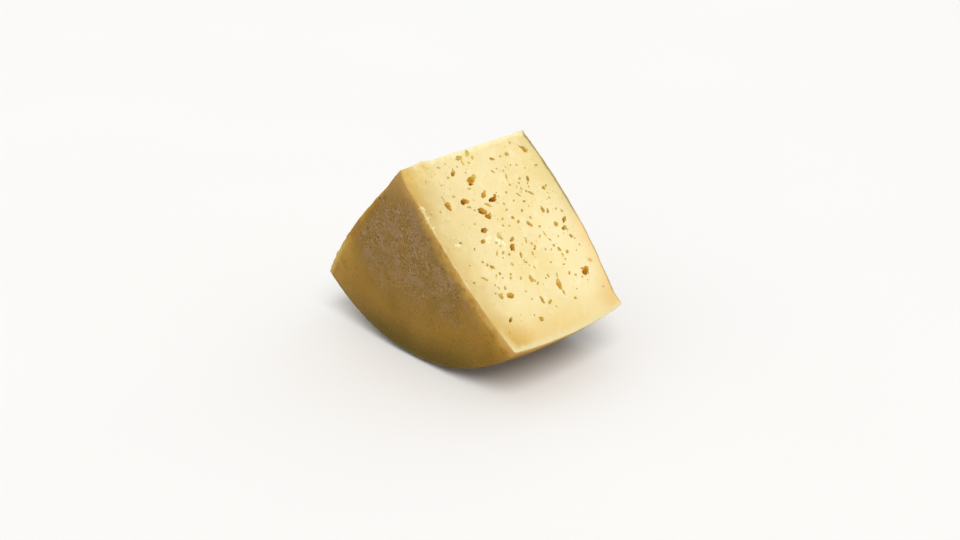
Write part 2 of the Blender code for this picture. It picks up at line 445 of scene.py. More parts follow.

# %% [markdown]
# ## The eyes
#
# The eyes are gas holes that a knife has laid open. A few are as big as a pea, most are far smaller, and
# they aren't round: where the curd didn't knit they are slits, corners and little clefts. They could be
# painted, but light gives a painted hole away at once, so each one is a real hollow, cut with a lumpy
# blob that sits half in the paste.
#
# The eyes that catch the eye are listed one by one. The numbers are millimetres: how far outwards from the
# axis, how far across from the middle, length, width, the lean of the length in degrees from the outward
# line, and depth. The many small ones are scattered by a rule.

# %% The eyes of the right cut that show most
# pea-sized ones
WIDE_EYES = (
    (23.5, -10, 8.4, 5.8, 105, 1.5), (26.2, -12.6, 4.2, 3, 90, 3.4), (36.8, -41, 7, 4.2, -20, 2.2),
    (36.8, -25.3, 5.6, 4.6, 60, 2.2), (37.5, -28, 5.0, 3.6, 90, 4.2), (48, -16.5, 7.2, 5, 60, 2.6),
    (53.7, -13.3, 6, 4.2, 75, 2.3), (37.2, -7.3, 5.2, 4, -70, 1.6), (42.8, -2.2, 7.2, 3.6, 88, 4.0),
    (62, -24.2, 6.4, 4.2, -68, 2.3), (69.5, -13.8, 5.8, 4.0, 0, 0.35), (81.2, -8.7, 6, 3.8, -35, 2.8),
    (112.8, -32.6, 6.2, 4, 92, 1.7), (124.2, -9.3, 6.6, 2.6, 3, 1.9), (107.4, -8.4, 6.6, 3.2, -5, 1.1),
    (136.5, -18.9, 4.2, 3.2, -60, 1.8), (128.3, -44, 4.4, 2.6, -60, 2.6), (14, 51.5, 6.4, 4.2, 15, 1.6),
    (15.8, 51, 3.2, 2.2, 0, 3.0), (69.4, 17, 5.2, 3.4, 38, 2.4), (76.3, 49.9, 6.6, 2.6, -62, 2.4),
    (119.3, 12.2, 7.6, 5.2, -15, 1.15), (118.3, 41.4, 7.6, 5.6, -60, 2.6), (116.3, 45, 2.4, 1.4, -60, 2.2),
)
# half as wide
MIDDLING_EYES = (
    (5, -10, 5.6, 3.7, 90, 1.0), (3.3, -0.5, 5.0, 4.6, 0, 0.5), (14.3, -21.8, 5.2, 3.2, -50, 2.0),
    (16.3, -27.8, 3.4, 2.3, 90, 0.6), (31, -32.4, 2.5, 2, 60, 1.0), (42.2, -24.8, 3.8, 2.1, 70, 0.8),
    (45.7, -21.7, 2.2, 1.7, 90, 1.0), (35, -4.5, 3.1, 1.9, -50, 1.0), (40.3, 2.2, 2.9, 2.6, -30, 2.2),
    (64.4, -48.3, 3.4, 2.3, 75, 1.5), (69.1, -29.8, 5.2, 2.8, -72, 1.6), (72, -13.4, 2.9, 2.2, 30, 1.5),
    (75.5, -5, 6, 2.6, -65, 1.4), (84.9, -14.5, 3.1, 2, -75, 1.2), (86, -37.2, 2.7, 2.3, 0, 1.4),
    (88.5, -34.7, 4.5, 3, 80, 1.4), (95.1, -31.3, 2.4, 2.1, 80, 3.6), (94.3, -45.7, 5.8, 2, 45, 1.1),
    (88.6, -5.2, 5.2, 2.3, -30, 1.2), (94.9, -4.4, 2.5, 1.9, 90, 1.3), (101.1, -24.7, 2.9, 2, -60, 0.9),
    (103.9, -16.4, 3.1, 1.9, -50, 1.0), (101.4, -40.2, 2.5, 1.6, 0, 1.1), (106, -33.8, 3.1, 2.2, -30, 1.2),
    (110.2, -40.7, 4.9, 3, 30, 1.2), (112.2, -4.9, 2.9, 1.7, -60, 1.0), (128, -4, 5.2, 2.1, -65, 1.1),
    (13.6, 17.9, 4.3, 2.8, 60, 1.8), (13.7, 33.4, 3.8, 3.5, 90, 1.0), (36.6, 20.6, 2.4, 2.1, 0, 1.1),
    (34.8, 32.2, 2.9, 2, -60, 1.0), (36.6, 39.4, 5.2, 2.8, -35, 2.0), (48, 34.4, 5.2, 2.3, 40, 1.5),
    (48, 48.6, 3.6, 3.2, 20, 1.6), (46.7, 52, 2.2, 2.1, 0, 1.0), (52.2, 24.3, 3.1, 2.2, 90, 1.3),
    (58.3, 17.6, 3.1, 2.1, -50, 1.2), (60.7, 6.4, 3.1, 2.6, 80, 1.5), (65, 9, 3.6, 2.3, -50, 1.5),
    (63.2, 36.2, 5.2, 3.2, -20, 1.7), (65.6, 40, 4.7, 2.2, -42, 1.5), (77.2, 40.5, 4.3, 3.7, -60, 1.7),
    (82.3, 45.8, 5.4, 3.6, -70, 1.7), (89.7, 47.6, 3.7, 2.9, 60, 1.8), (86.8, 10.6, 2.9, 2.1, -20, 1.2),
    (88.4, 8.9, 2.2, 1.7, -60, 3.0), (91.2, 27.5, 2.7, 2.4, 60, 1.2), (95.6, 30.4, 4, 2.8, 10, 1.5),
    (99.6, 36, 3.4, 2.8, -50, 1.5), (125.7, 12.4, 4.7, 1.6, -10, 1.9), (117.7, 31.3, 2.7, 2.1, 90, 0.8),
    (114.7, 26.7, 3.6, 1.9, -45, 1.2), (110.2, 7.4, 3.4, 2, -10, 1.0), (133.3, 19.2, 2.7, 2.2, 90, 1.4),
)
# slits where the curd didn't knit
CLEFTS = (
    (9, -9.2, 5.3, 1.5, 0, 0.9), (11.5, -20.3, 2.7, 1.1, -15, 0.9), (8, 1.7, 3.8, 1.7, -25, 0.8),
    (31, -42, 5.3, 1, 0, 0.8), (29.2, -16, 3.8, 1.5, 75, 0.8), (45.5, -7.8, 6.9, 2.3, 50, 0.8),
    (11.5, 49.2, 2.8, 1.7, 20, 2.2), (30.2, 21.3, 5.5, 1.5, -25, 1.1), (46, 22.8, 4.5, 1.6, 35, 0.8),
    (79.8, 6.3, 4.9, 1.4, -25, 0.9), (90.8, 5.3, 3.6, 1.6, -10, 1.1), (80.8, 25.5, 4.7, 1.5, 5, 0.8),
    (86, 26.9, 3.6, 1.7, 35, 0.8), (80.6, -23.8, 4.9, 1.6, -40, 0.7), (104, -38.7, 3.2, 1.5, 10, 0.7),
    (112.5, 15.2, 4.9, 1.1, -30, 0.8),
)
# the smallest that can still be told apart
FAINT_EYES = (
    (7, -31, 3.2, 1.8, 70, 0.7), (14, -47.8, 4.5, 1.1, -35, 0.5), (28.5, -42, 1.9, 1.8, 0, 0.7),
    (37.6, -58.4, 2.1, 1.6, 90, 0.7), (58.9, -2.8, 2.5, 1.7, -60, 1.2), (55.2, -28, 2.1, 1.8, 60, 0.8),
    (13.6, 26.6, 2.8, 1.7, 100, 0.9), (5.8, 42.2, 2.3, 2, 0, 0.8), (21.7, 17, 1.9, 1.6, 90, 0.8),
    (23, 12.4, 3.8, 2, 40, 0.8), (25, 22, 2.3, 1.6, -50, 0.8), (22.6, 31, 2.1, 1.5, -60, 1.2),
    (24, 36.5, 2.5, 2.2, 0, 0.7), (37.8, 29.2, 2.1, 1.7, 90, 1.1), (40.3, 36.8, 2.3, 1.3, -20, 1.1),
    (42.8, 36, 1.9, 1.3, -20, 1.1), (42.3, 28.4, 3.2, 1.8, 0, 0.9), (41.2, 13.3, 2.5, 1.9, 90, 1.1),
    (45.6, 31.3, 2.1, 2, 90, 1.1), (49, 15.8, 2.5, 1.6, -70, 0.9), (48.7, 6, 2.8, 2.2, 45, 0.8),
    (29.3, 53.6, 3.2, 2.2, 90, 0.9), (53.5, 5, 3, 1.5, -70, 0.9), (56.8, 25.8, 2.1, 1.7, 0, 0.7),
    (56.5, 48.5, 2.5, 2, 0, 0.7), (82, -18.8, 3.6, 2, -60, 0.9), (76.8, -17.8, 2.1, 1.8, 0, 0.9),
    (73.6, -19.6, 2.1, 2.2, 0, 0.9), (72, -40.1, 3.4, 1.3, -40, 1.1), (82.8, -39.7, 2.5, 2.2, 60, 1.2),
    (95.5, -34.8, 2.1, 1.2, -70, 1.2), (94, -55.5, 2.5, 2, 80, 1.2), (63.6, -6, 2.3, 1.6, -60, 1.1),
    (65.5, -0.5, 2.3, 1.5, 90, 0.8), (93.3, -5.3, 1.9, 1.6, 0, 1.2), (92.3, -16.7, 3, 2.2, 0, 0.8),
    (98.5, -22.8, 2.3, 1.8, -30, 1.2), (100.5, 0, 2.7, 1.8, 0, 0.7), (69.3, 52.8, 3, 2.7, 0, 0.9),
    (66.3, 48.5, 2.5, 1.8, -60, 0.8), (83.8, 9.2, 2.3, 2, 0, 1.1), (81, 20, 3.2, 1.7, -50, 0.7),
    (74.3, 24.8, 2.8, 2, 90, 0.9), (93.3, 23.3, 2.5, 1.5, -50, 0.8), (100, 30.7, 3.2, 1.8, 0, 0.8),
    (104, 30.6, 2.3, 1.6, -60, 1.2), (65.4, 21.4, 2.5, 2.2, 0, 0.8), (102, 16.5, 2.5, 1.5, 90, 0.8),
    (133, -1, 2.3, 1.7, 0, 0.7), (114, -18.5, 2.1, 1.6, 0, 0.7), (120.7, -17, 2.1, 1.6, 0, 0.7),
    (120.3, 39.8, 2.5, 2.5, 0, 3.8), (121.2, 36, 2.3, 1.8, 60, 0.9), (111.2, 4.3, 1.9, 1.6, 0, 1.1),
    (107.2, 26.6, 2.8, 1.5, 90, 0.8), (112.8, 53.0, 2.8, 1.4, 25, 0.3),
)
listed = list(WIDE_EYES + MIDDLING_EYES + CLEFTS + FAINT_EYES)
print("eyes listed by hand:", len(listed))

# %% [markdown]
# The scatter draws a place, a size and a lean from a seeded generator, so every run gives the same
# cheese. It keeps clear of the rind, where the paste is dense, and of the eyes that are there already. A
# share of the places in the outer part is thrown away again, because real eyes thin out there.

# %% Scattering the smaller eyes
import random

CLEAR_OF_RIND = 6.5  # in mm, as all the numbers of eyes are
CLEAR_OF_TIP = 4
CLEAR_BETWEEN = 0.5
THIN_OUT_FROM = 102.0  # outwards from here, and across from there, only a share of the places is kept
THIN_OUT_ACROSS = -40
THIN_OUT_TO = 0.3
SMALLNESS = 2.2  # above 1, small eyes are commoner than big ones
USUAL_LEAN = -45
LEAN_SPREAD = 40
DEEPEST = 3.2


def scatter(count, sizes, taken, draw):
    """Eyes at random places of a cut, clear of those that are taken."""
    found = []
    while len(found) < count:
        outwards = draw.uniform(CLEAR_OF_TIP, WHEEL_RADIUS / MM - CLEAR_OF_RIND - CLEAR_OF_TIP)
        reach = half_height(outwards * MM / WHEEL_RADIUS, False) / MM - CLEAR_OF_RIND
        across = draw.uniform(-reach, reach)
        length = sizes[0] + (sizes[1] - sizes[0]) * draw.random() ** SMALLNESS
        width = length * draw.uniform(0.5, 0.95)
        lean = draw.gauss(USUAL_LEAN, LEAN_SPREAD)
        depth = min(DEEPEST, width * draw.uniform(0.45, 0.95))
        lonely = all(
            math.hypot(outwards - other[0], across - other[1]) > (length + other[2]) / 2 + CLEAR_BETWEEN
            for other in taken + found
        )
        kept = draw.random() < THIN_OUT_TO or (outwards < THIN_OUT_FROM and across > THIN_OUT_ACROSS)
        if lonely and kept:
            found.append((outwards, across, length, width, lean, depth))
    return found


print("small eyes keep", CLEAR_OF_RIND, "mm clear of the rind")

# %% [markdown]
# Two holes have often run together. So each wide eye gets a lobe, a smaller eye at its border.

# %% Lobes, and all the eyes together
LOBED_FROM = 3.0  # eyes at least this wide get a lobe
LOBE_SIZE = 0.55  # as shares of the wide eye's length, and its depth as a share of the wide one's
LOBE_OFFSET = 0.42
LOBE_DEPTH = 0.6


def add_lobes(eyes, draw):
    """Adds a smaller eye at the border of each wide one."""
    lobes = []
    for outwards, across, length, width, lean, depth in eyes:
        if width < LOBED_FROM:
            continue
        angle = draw.uniform(0, 2 * math.pi)
        offset = LOBE_OFFSET * length
        place = (outwards + offset * math.cos(angle), across + offset * math.sin(angle))
        size = LOBE_SIZE * length * draw.uniform(0.75, 1.1)
        shape = (size, size * draw.uniform(0.5, 0.8), draw.uniform(-90, 90), depth * LOBE_DEPTH)
        lobes.append(place + shape)
    return eyes + lobes


draw = random.Random(31)
right_eyes = listed + scatter(110, (0.9, 2.0), listed, draw)
left_eyes = scatter(13, (5.0, 8.5), [], draw)
left_eyes += scatter(42, (2.2, 4.6), left_eyes, draw)
left_eyes += scatter(110, (0.9, 2.2), left_eyes, draw)
right_eyes, left_eyes = add_lobes(right_eyes, draw), add_lobes(left_eyes, draw)
print(len(right_eyes), "eyes on the right cut and", len(left_eyes), "on the left one")

# %% [markdown]
# A blob starts as an icosphere, finer for a wide eye than for a small one. Noise pulls its points in and
# out, so that it becomes lumpy and gets corners, and then it is stretched, leaned and set into the cut
# with its middle just under the surface. The holes were squeezed when the cheese was pressed, so they
# run into the paste at a slant, and the deepest part of each lies towards the front rim. The surface is
# looked up on the uncut cheese, because the relief has moved it.

# %% Making a blob for an eye
EYE_SINK = 0.25  # how deep the blob's middle lies, as a share of the eye's depth
LUMPINESS = 0.40
FINER_FROM = (1.3, 3.4, 6)  # above each of these lengths the icosphere is divided once more
SLANT = Vector((0.35, -0.45, 0))  # how far an eye leans outwards and across, for each step in depth


def cut_frame(out_of_cut, angle):
    """Turns local x outwards, y across and z into the paste."""
    return Matrix((outward(angle), (0, 1, 0), -out_of_cut)).transposed()


def add_blob(bm, point, turn, eye, salt):
    """Adds a closed lumpy blob round a point of the surface."""
    length, width, lean, depth = eye[2:]
    fineness = 1 + sum(length > limit for limit in FINER_FROM)
    made = bmesh.ops.create_icosphere(bm, subdivisions=fineness, radius=1.0)
    opening = 1 / math.sqrt(1 - (EYE_SINK / (1 - EYE_SINK)) ** 2)
    half_sizes = Vector((length / 2 * opening, width / 2 * opening, depth * (1 - EYE_SINK))) * MM
    leaning = Matrix.Rotation(math.radians(lean), 3, "Z")
    middle = point + turn @ Vector((0, 0, depth * EYE_SINK * MM))
    for vert in made["verts"]:
        lumps = bumps(vert.co, 1.0, salt) + 0.5 * bumps(vert.co, 0.5, salt)
        shaped = leaning @ (vert.co * (1 + LUMPINESS * lumps) * half_sizes)
        vert.co = middle + turn @ (shaped + SLANT * shaped.z)


print("an eye's blob is", round((1 - EYE_SINK) * 2, 2), "times as deep as the eye")

# %% [markdown]
# The solver that cuts them needs each cutter to be a clean closed mesh, and two blobs that overlap aren't
# one. So a blob goes into the first cutter in which it touches nothing, and a second or third cutter
# takes the ones that run together, such as a cleft that leads into a wide eye.

# %% Sharing the blobs out over cutters
cutters = []


def cutter_for(point, reach):
    """The first cutter in which nothing is near this point."""
    for cutter in cutters:
        if all((point - other).length > reach + other_reach for other, other_reach in cutter["taken"]):
            break
    else:
        cutter = {"bm": bmesh.new(), "taken": []}
        cutters.append(cutter)
    cutter["taken"].append((point, reach))
    return cutter["bm"]


def open_eyes(eyes, out_of_cut, angle, bow):
    turn = cut_frame(out_of_cut, angle)
    for number, eye in enumerate(eyes):
        radius = eye[0] * MM
        point = AXIS + outward(angle) * radius + Vector((0, eye[1] * MM, 0)) + out_of_cut * bow(radius)
        point = uncut.find_nearest(point)[0]
        reach = max(eye[2:4] + (2 * eye[5],)) * 0.75 * MM
        add_blob(cutter_for(point, reach), point, turn, eye, number + 100 * angle)


open_eyes(right_eyes, OUT_OF_RIGHT_CUT, RIGHT_CUT, lambda radius: 0.0)
open_eyes(left_eyes, OUT_OF_LEFT_CUT, -LEFT_CUT, left_cut_bow)
print("blobs in each cutter:", [len(cutter["taken"]) for cutter in cutters])

# %% [markdown]
# ## Pits and a nick in the rind
#
# The rind has a few dark pinholes, and near the tip the knife caught it and left a short nick across the
# edge of the front. Both are made as the eyes are. A pit is placed by where it lies on the front or the
# back, x from the middle and z above the floor.

# %% Pitting the rind
FRONT_PITS = ((-25, 94.5, 1.7), (43, 91.7, 1.4), (57, 74, 1.6), (-50, 71, 1.2), (-8, 48, 1.3))
SCATTERED_PITS = 34
PITS_CLEAR_OF_CUTS = 9
FLATS_PLACE = 64  # the pits are looked for this far in front of the middle plane, or behind it
NICK_PLACE = Vector((-23.2, -64, 126.4)) * MM
NICK_SHAPE = (0, 0, 4.4, 1.3, -41, 1.8)  # as an eye's: length, width, lean and depth come last
FRONT_TURN = Matrix(((1, 0, 0), (0, 0, 1), (0, 1, 0))).transposed()
BACK_TURN = Matrix(((1, 0, 0), (0, 0, 1), (0, -1, 0))).transposed()


def pit(x, z, size, front, salt):
    target = Vector((x, (-FLATS_PLACE if front else FLATS_PLACE), z)) * MM
    point = uncut.find_nearest(target)[0]
    shape = (0, 0, size, size * 0.8, 40 * salt, size * 0.7)
    add_blob(cutter_for(point, size * MM), point, FRONT_TURN if front else BACK_TURN, shape, salt)


for number, (x, z, size) in enumerate(FRONT_PITS):
    pit(x, z, size, True, number + 0.5)
for number in range(SCATTERED_PITS):
    radius = draw.uniform(30, 138)
    angle = draw.uniform(PITS_CLEAR_OF_CUTS / radius - LEFT_CUT, RIGHT_CUT - PITS_CLEAR_OF_CUTS / radius)
    spot = AXIS / MM + outward(angle) * radius
    pit(spot.x, spot.z, draw.uniform(0.7, 1.3), number % 2 == 0, number + 0.25)
nick_point = uncut.find_nearest(NICK_PLACE)[0]
add_blob(cutter_for(nick_point, NICK_SHAPE[2] * MM), nick_point, FRONT_TURN, NICK_SHAPE, 0.7)
print("pits:", len(FRONT_PITS) + SCATTERED_PITS, "and the nick is at", [round(v / MM) for v in nick_point])

# %% [markdown]
# ## Cutting
#
# Each cutter is taken away with a Boolean modifier. The modifiers are then applied by reading the
# finished mesh back, and the cutters are deleted, so the cheese is one plain closed mesh.

# %% Cutting the eyes out of the cheese
cutter_objects = []
for number, cutter in enumerate(cutters):
    bmesh.ops.recalc_face_normals(cutter["bm"], faces=cutter["bm"].faces)
    blobs = mesh_object(f"cutter_{number}", cutter["bm"])
    cutter_objects.append(blobs)
    carve = cheese.modifiers.new(f"eyes_{number}", "BOOLEAN")
    carve.operation = "DIFFERENCE"
    carve.object = blobs
    carve.solver = "MANIFOLD"
bpy.context.view_layer.update()
carved = bpy.data.meshes.new_from_object(cheese.evaluated_get(bpy.context.evaluated_depsgraph_get()))
cheese.modifiers.clear()
cheese.data = carved
bpy.data.meshes.remove(cheese_mesh)
for blobs in cutter_objects:
    bpy.data.objects.remove(blobs)
carved.name = "cheese"
carved.materials.clear()  # the solver leaves an empty slot
print("after cutting:", len(carved.vertices), "points,", len(carved.polygons), "faces")

# %% [markdown]
# Where two eyes meet, a crumb can be left floating in the hole, so everything but the largest connected
# piece is thrown away.

# %% Throwing away loose crumbs


def connected_pieces(bm):
    """The points of each connected piece of a mesh, the largest piece last."""
    left_over, pieces = set(bm.verts), []
    while left_over:
        piece, ends = set(), [left_over.pop()]
        while ends:
            vert = ends.pop()
            piece.add(vert)
            around = {edge.other_vert(vert) for edge in vert.link_edges} & left_over
            left_over -= around
            ends.extend(around)
        pieces.append(piece)
    return sorted(pieces, key=len)


bm = bmesh.new()
bm.from_mesh(carved)
crumbs = connected_pieces(bm)[:-1]
bmesh.ops.delete(bm, geom=[vert for crumb in crumbs for vert in crumb], context="VERTS")
bm.to_mesh(carved)
bm.free()
print("crumbs thrown away:", len(crumbs))

# %% [markdown]
# ## What the finishes need to know
#
# Real paste isn't the same colour all through. It is darker and tighter close to the rind, and the walls of
# an eye are painted deeper in colour than the fresh cut, as painted shade in the hollows. A finish can only
# follow that if it knows how deep it is, so the depths are stored on the mesh, in millimetres, as attributes
# that a material can read. They belong to the shape, so the pattern can't slide. The shove at the front
# corner is taken back first, or the paste there would count as lying outside the rind.
#
# Each face then takes the paste or the rind, whichever the nearest face of the uncut cheese had.

# %% Storing the depths on the mesh
DEPTHS = ("hollow", "under_side", "under_flat", "under_cut", "from_axis")
rows = []
for vert in carved.vertices:
    under_side, under_flat, under_right, under_left, radius = depths_under(vert.co - shove(vert.co))
    hollow, under_cut = uncut.find_nearest(vert.co)[3], min(under_right, under_left)
    rows.append([depth / MM for depth in (hollow, under_side, under_flat, under_cut, radius)])
for name, values in zip(DEPTHS, zip(*rows)):
    carved.attributes.new(name, "FLOAT", "POINT").data.foreach_set("value", values)
print("deepest hollow:", round(max(row[0] for row in rows), 2), "mm")

# %% Sorting the faces into paste and rind
PASTE_SLOT, RIND_SLOT = 0, 1
SHARP_FROM = math.radians(42)  # edges sharper than this aren't shaded as if they were round
for face in carved.polygons:
    nearest = uncut.find_nearest(face.center)[2]
    face.material_index = PASTE_SLOT if uncut_surfaces[nearest] <= LEFT_FACE else RIND_SLOT
carved.shade_smooth()
carved.set_sharp_from_angle(angle=SHARP_FROM)
paste_faces = sum(face.material_index == PASTE_SLOT for face in carved.polygons)
print("faces with paste:", paste_faces, "and with rind:", len(carved.polygons) - paste_faces)

# %% [markdown]
# ## Building materials with few words
#
# A node material is a small calculation that runs at every point of the surface. Written out node by node
# it is long and hard to read, so here the sums are written as sums: the output of a node is wrapped in a
# small class, and a +, -, * or / between two such values puts in the node that works it out.

# %% Values that a shader works out


class Varying:
    """What a node puts out: a number, a colour or a place that varies over the surface."""

    def __init__(self, socket):
        self.socket = socket
        self.tree = socket.id_data

    def __add__(self, other):
        return reckon("ADD", self, other)

    def __sub__(self, other):
        return reckon("SUBTRACT", self, other)

    def __rsub__(self, other):
        return reckon("SUBTRACT", other, self)

    def __mul__(self, other):
        return reckon("MULTIPLY", self, other)

    def __truediv__(self, other):
        return reckon("DIVIDE", self, other)


def connect(socket, value):
    """Wires an input to a value that varies, or sets it to a plain one."""
    if isinstance(value, Varying):
        value.tree.links.new(value.socket, socket)
    else:
        socket.default_value = value


def put(tree, kind, inputs=(), **settings):
    """Adds a node. The inputs map the name or number of a socket to its value."""
    node = tree.nodes.new(kind)
    for name, value in settings.items():
        setattr(node, name, value)
    for socket, value in dict(inputs).items():
        connect(node.inputs[socket], value)
    return node


def outputs(node):
    """What a node puts out, by name."""
    return {socket.name: Varying(socket) for socket in node.outputs}


def reckon(operation, first, second=0.0):
    """Does one sum. At least one of the two values has to vary."""
    tree = first.tree if isinstance(first, Varying) else second.tree
    return Varying(put(tree, "ShaderNodeMath", {0: first, 1: second}, operation=operation).outputs[0])


print("the output of a node can now be used in sums")

# %% [markdown]
# Four more helpers are enough for both finishes: a soft step, a mix of two colours, cloudy noise, and a
# place split into its three parts. Lengths are given in millimetres throughout. Noise runs from 0 to 1 but
# keeps close to 0.5, so the steps that turn it into patches lie close to 0.5 too. The strengths and the
# limits of the steps were found by comparing renders with the photograph.

# %% Steps, mixes, noise and places


def step(value, start, end):
    """Rises smoothly from 0 to 1 as the value goes from start to end, in either direction."""
    inputs = {"Value": value, "From Min": start, "From Max": end}
    node = put(value.tree, "ShaderNodeMapRange", inputs, interpolation_type="SMOOTHSTEP")
    return Varying(node.outputs[0])


def mix(share, first, second):
    """Mixes two colours. Sockets 0, 6 and 7 of a colour Mix node are its factor and its two colours."""
    node = put(share.tree, "ShaderNodeMix", {0: share, 6: first, 7: second}, data_type="RGBA")
    return Varying(node.outputs[2])


def mottle(where, size, detail=2.0, roughness=0.5, distortion=0.0):
    """Cloudy noise, whose clouds are about this many millimetres wide."""
    inputs = {"Vector": where, "Scale": 1 / (size * MM), "Detail": detail, "Roughness": roughness}
    return outputs(put(where.tree, "ShaderNodeTexNoise", {**inputs, "Distortion": distortion}))["Fac"]


def split(where):
    """The X, Y and Z of a place, in millimetres."""
    parts = outputs(put(where.tree, "ShaderNodeSeparateXYZ", {0: where}))
    return {axis: part * (1 / MM) for axis, part in parts.items()}


def shown(red, green, blue):
    """A colour as a screen shows it, from 0 to 255, turned into what a shader takes."""
    parts = (value / 255 for value in (red, green, blue))
    return tuple(p / 12.92 if p <= 0.04045 else ((p + 0.055) / 1.055) ** 2.4 for p in parts) + (1.0,)


print("a mid grey of 128 is", round(shown(128, 128, 128)[0], 3), "to a shader")

# %% [markdown]
# ## A torn edge
#
# Where the knife leaves the rind, a pale ragged thread of paste is torn up along the front edge. It lies
# half on the cut and half on the rind, so both finishes need it. An effect that two materials share is
# a node group: it is built once, and each material gives it its own depths.

# %% The torn edge as a node group
THREAD_WIDTH = 1.3  # how far the thread reaches over the edge, in mm, where it is broad
THREAD_FRAY = 1.2  # how far its border is frayed
FLAKE_SPREAD = 2.4  # how much further it reaches where the edge is torn into flakes


def new_group(name, inputs, results):
    """An empty node group, the values that go into it, and the sockets that its results go to."""
    group = bpy.data.node_groups.new(name, "ShaderNodeTree")
    for side, sockets in (("INPUT", inputs), ("OUTPUT", results)):
        for label, kind in sockets:
            group.interface.new_socket(label, in_out=side, socket_type=f"NodeSocket{kind}")
    return group, outputs(group.nodes.new("NodeGroupInput")), group.nodes.new("NodeGroupOutput").inputs


def use_group(tree, group, inputs):
    node = put(tree, "ShaderNodeGroup", node_tree=group)
    for label, value in inputs.items():
        connect(node.inputs[label], value)
    return outputs(node)


def torn_edge_group():
    inputs = (("Where", "Vector"), ("Distance", "Float"), ("From Axis", "Float"))
    group, given, results = new_group("torn_edge", inputs, (("Mask", "Float"),))
    where, distance, from_axis = (given[label] for label, kind in inputs)
    place = split(where)
    limit = step(mottle(where, 13.0, 1.0), 0.36, 0.66) * THREAD_WIDTH
    limit = limit + mottle(where, 2.6, 3.0, 0.6) * THREAD_FRAY
    begun = step(from_axis, 24.0, 30.0)
    flakes = step(mottle(where, 3.0, 3.0, 0.65), 0.48, 0.60) * FLAKE_SPREAD
    limit = limit + begun * step(from_axis, 56.0, 44.0) * flakes
    inside = step(limit - distance, -0.5, 1.1)
    at_front = step(place["Y"], -20.0, -45.0) * step(place["X"], 0.0, 15.0)
    fading = step(from_axis, 40.0, 60.0) * -0.35 + step(from_axis, 90.0, 108.0) * -0.45 + 1.0
    connect(results["Mask"], inside * (begun * at_front) * fading)
    return group


torn_edge = torn_edge_group()
print("group", torn_edge.name, "has", len(torn_edge.nodes), "nodes")

# %% [markdown]
# ## The rind's skin
#
# The rind was washed and rubbed while the cheese ripened. It is a warm brown skin, golden beside the cuts,
# where handling has rubbed it. Towards the rim between the cuts it is painted darker olive, which is painted
# shade, and along the bottom rim a greenish grey is painted as reflected light and shade. A dry grey bloom
# covers it well inside the flats and along the middle of the curved side, and is worn off towards the rim
# and the cuts. In the bloom there are countless pale specks smaller than a pinhead. The skin is a group too,
# because a thin line of it also shows at the border of the cut face.

# %% The bare skin
SKIN_BROWN = shown(134, 100, 28)
SKIN_TAN = shown(147, 111, 37)
SKIN_GOLD = shown(172, 131, 44)
SKIN_EDGE = shown(210, 170, 96)
# painted shade: the olive that darkens the lower rind
SKIN_SHADE_OLIVE = shown(84, 69, 4)
SKIN_RUST = shown(157, 104, 32)
# painted reflection and shade: the greenish grey along the bottom rim
RIM_REFLECTION_GREEN = shown(98, 94, 50)
THIN_YELLOW = shown(208, 182, 98)
BAND_AT_TIP = 4.0  # how wide the golden band beside a cut is near the tip and near the rim, in mm
BAND_AT_LEFT_RIM = 28.0
BAND_AT_RIGHT_RIM = 18.0


def share_of_band(place, under_cut, patches):
    """0 at a cut and 1 where its golden band ends."""
    narrower = step(place["X"], -20.0, 20.0) * (BAND_AT_LEFT_RIM - BAND_AT_RIGHT_RIM)
    at_rim = BAND_AT_LEFT_RIM - BAND_AT_TIP - narrower
    width = step(place["Z"], 104.0, 50.0) * at_rim + BAND_AT_TIP
    wander = step(place["Z"], 50.0, 90.0) * 0.8 + 0.6
    return under_cut / width + (patches - 0.5) * wander


def skin_colour(where, place, under_side, under_cut, patches, share):
    """The bare skin: brown, golden towards the cuts, and painted olive towards the rim between them as
    painted shade.
    """
    colour = mix(step(mottle(where, 40.0), 0.38, 0.62), SKIN_BROWN, SKIN_TAN)
    colour = mix(step(share, 1.25, 0.15) * 0.8, colour, SKIN_GOLD)
    rusty = step(under_cut, 24.0, 8.0) * 0.35 + 0.28
    colour = mix(rusty * step(patches, 0.50, 0.66), colour, SKIN_RUST)
    # painted shade: olive darkening towards the rim, away from the cuts
    olive = step(under_side, 34.0, 3.0) * step(under_cut, 14.0, 70.0)
    colour = mix(olive * 0.85, colour, SKIN_SHADE_OLIVE)
    # painted reflection and shade along the bottom rim
    rim = step(under_side, 6.0, 1.0) * step(place["X"], 50.0, -10.0)
    colour = mix(rim * 0.6, colour, RIM_REFLECTION_GREEN)
    at_edge = step(share, 0.50, 0.0) * (step(place["X"], 0.0, 10.0) + 0.4)
    colour = mix(at_edge * 0.6, colour, SKIN_EDGE)
    thin = step(place["Z"], 90.0, 66.0) * step(place["X"], -30.0, -60.0) * step(under_cut, 6.0, 0.5)
    colour = mix(thin * 0.8, colour, THIN_YELLOW)
    grain = step(mottle(where, 2.6, 3.0, 0.6), 0.45, 0.75)
    return mix(grain * 0.3, colour, SKIN_BROWN)


print("near the rim the golden bands are", BAND_AT_LEFT_RIM, "and", BAND_AT_RIGHT_RIM, "mm wide")

# %% [markdown]
# The bloom is made of clouds of slightly different greys with fine grit on top. Grit all of one size looks
# like sandpaper, so its strength changes from place to place, and a few pale flecks are larger.

